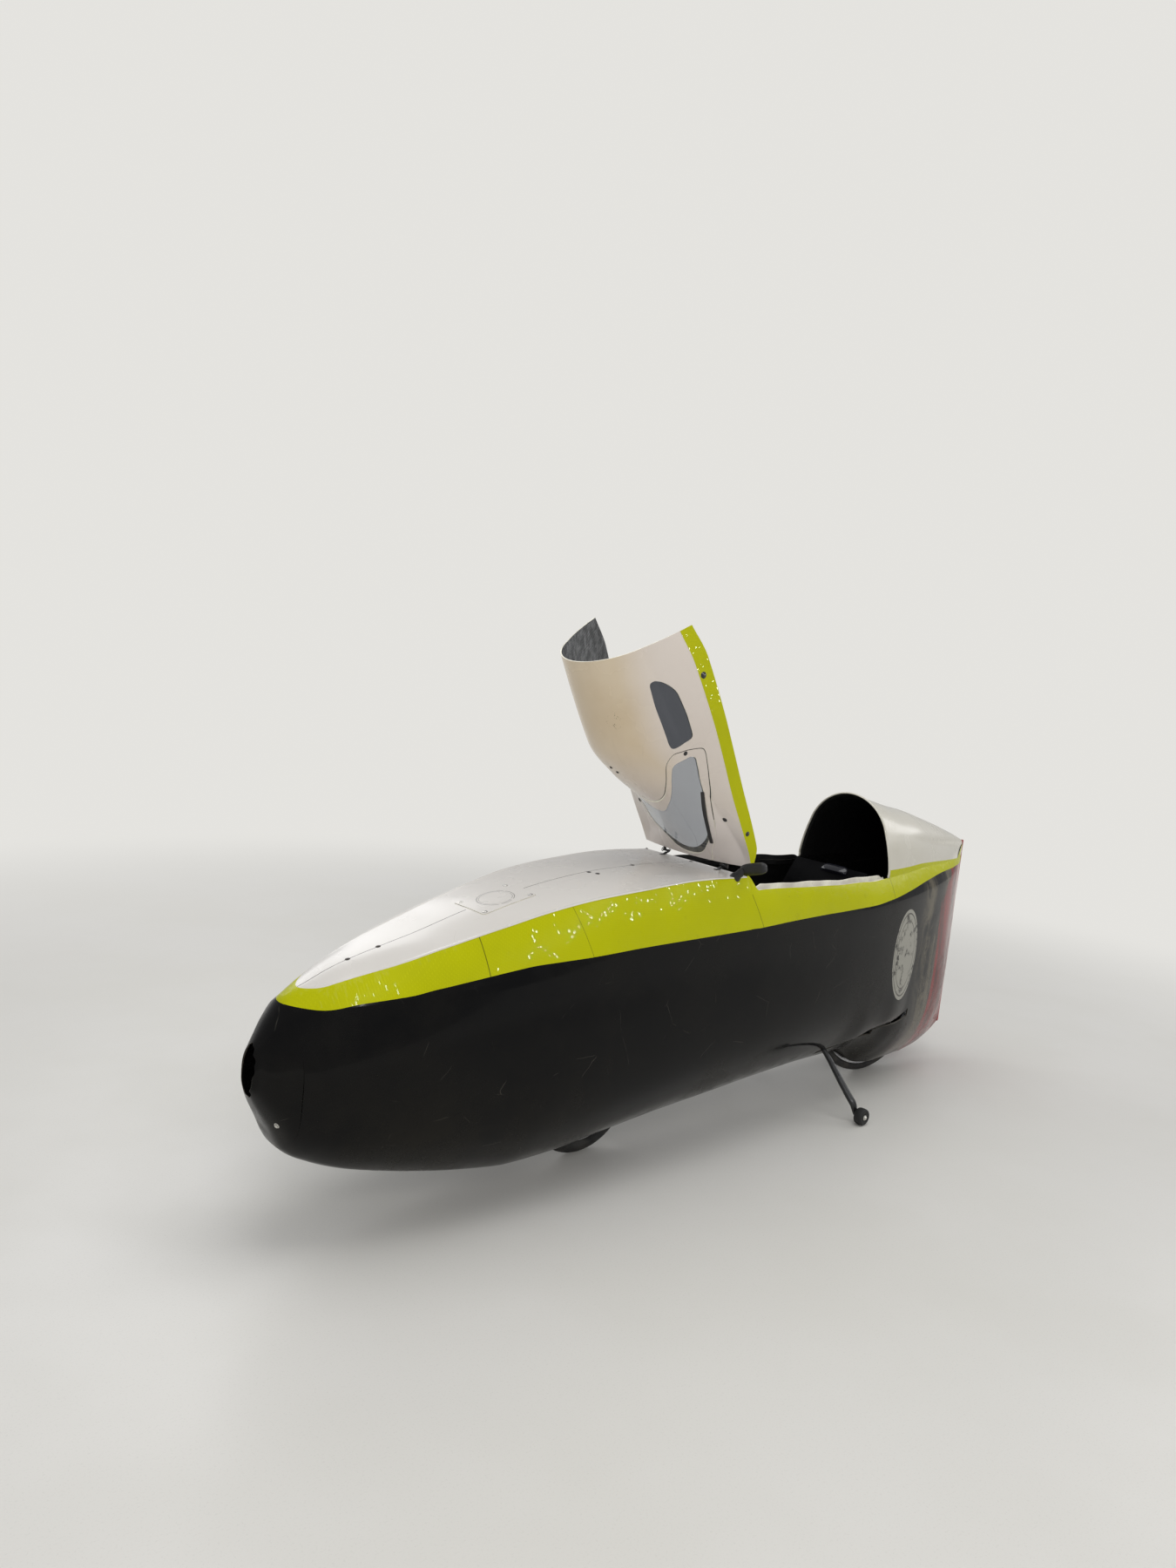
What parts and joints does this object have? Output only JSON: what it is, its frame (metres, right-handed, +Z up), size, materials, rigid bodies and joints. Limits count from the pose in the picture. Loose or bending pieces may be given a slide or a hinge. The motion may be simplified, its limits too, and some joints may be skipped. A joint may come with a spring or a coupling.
{
  "type": "velomobile",
  "caption": "Fully faired two-wheel recumbent velomobile on two fold-out side legs, hinged canopy open over its cockpit.",
  "frame": {"origin": "on the ground under the middle of the overall length, on the centre line", "axes": "+X forward, +Y to the vehicle's left, +Z up"},
  "size_m": [2.804, 0.66, 1.4478],
  "materials": {
    "white_paint": "glossy off-white paint on fibreglass, scuffed",
    "black_gloss": "glossy black paint, dusty and streaked",
    "lime_sheet": "lime retroreflective sheeting with a cell pattern",
    "red_paint": "worn red paint",
    "smoked_pane": "smoked acrylic",
    "tyre": "black tyre",
    "castor_rubber": "black rubber",
    "black_metal": "satin black paint",
    "frame_paint": "satin dark grey paint",
    "alloy": "satin",
    "steel": "oiled steel",
    "seat_shell": "dark grey glossy fibreglass",
    "dark_plastic": "dark grey moulded plastic",
    "grip_rubber": "matt black"
  },
  "bodies": {
    "hull": {"lower_hull_left": "black_gloss", "lower_hull_right": "black_gloss", "nose_shell": "black_gloss", "lime_band_left": "lime_sheet", "lime_band_right": "lime_sheet", "deck": "white_paint", "deck_hatch": "white_paint", "hood": "white_paint", "cockpit_coaming": "white_paint", "tail_edge": "red_paint", "main_frame": "frame_paint", "seat": "seat_shell", "headrest": "seat_shell", "front_chain": "steel", "rear_chain": "steel", "leg_brackets": "black_metal", "deck_hinges": "black_metal", "mirror_left": "dark_plastic"},
    "canopy": {"canopy_shell": "white_paint", "canopy_band": "lime_sheet", "windscreen": "smoked_pane", "windscreen_frame": "white_paint", "side_windows": "smoked_pane", "canopy_hinges": "black_metal"},
    "steering": {"fork": "frame_paint", "handlebar": "alloy", "grips": "grip_rubber"},
    "front_wheel": {"front_tyre": "tyre", "front_rim": "alloy", "front_hub": "alloy"},
    "rear_wheel": {"rear_tyre": "tyre", "rear_rim": "alloy", "rear_hub": "alloy"},
    "crank": {"crankset": "alloy", "pedals": "dark_plastic"},
    "jackshaft": {"jackshaft": "steel"},
    "leg_left": {"leg_left": "black_metal"},
    "leg_right": {"leg_right": "black_metal"},
    "castor_left": {"castor_left": "castor_rubber"},
    "castor_right": {"castor_right": "castor_rubber"}
  },
  "joints": [
    {"name": "canopy_hinge", "type": "hinge", "parent": "hull", "child": "canopy", "pos_m": [0.06, 0, 0.8], "axis": [0, 1, 0], "range_deg": [-119.5, 0]},
    {"name": "steering", "type": "hinge", "parent": "hull", "child": "steering", "pos_m": [0.38451, 0, 0.17145], "axis": [-0.342, 0, 0.9397], "range_deg": [-8, 8]},
    {"name": "front_wheel_spin", "type": "hinge", "parent": "steering", "child": "front_wheel", "pos_m": [0.408, 0, 0.18], "axis": [0, 1, 0], "continuous": true},
    {"name": "rear_wheel_spin", "type": "hinge", "parent": "hull", "child": "rear_wheel", "pos_m": [-0.94, 0, 0.336], "axis": [0, 1, 0], "continuous": true},
    {"name": "crank_spin", "type": "hinge", "parent": "hull", "child": "crank", "pos_m": [0.98, 0, 0.4], "axis": [0, 1, 0], "continuous": true},
    {"name": "jackshaft_spin", "type": "hinge", "parent": "hull", "child": "jackshaft", "pos_m": [0.11, -0.067, 0.18], "axis": [0, 1, 0], "continuous": true},
    {"name": "leg_left_fold", "type": "hinge", "parent": "hull", "child": "leg_left", "pos_m": [-0.474, 0.092, 0.236], "axis": [0.1774, 0.6425, 0.7455], "range_deg": [0, 62]},
    {"name": "leg_right_fold", "type": "hinge", "parent": "hull", "child": "leg_right", "pos_m": [-0.474, -0.092, 0.236], "axis": [-0.1774, 0.6425, -0.7455], "range_deg": [0, 62]},
    {"name": "castor_left_spin", "type": "hinge", "parent": "leg_left", "child": "castor_left", "pos_m": [-0.5, 0.312, 0.026], "axis": [0, 1, 0], "continuous": true},
    {"name": "castor_right_spin", "type": "hinge", "parent": "leg_right", "child": "castor_right", "pos_m": [-0.5, -0.312, 0.026], "axis": [0, 1, 0], "continuous": true}
  ],
  "couplings": [
    {"joint": "jackshaft_spin", "follows": "crank_spin", "ratio": 3.6667}
  ]
}
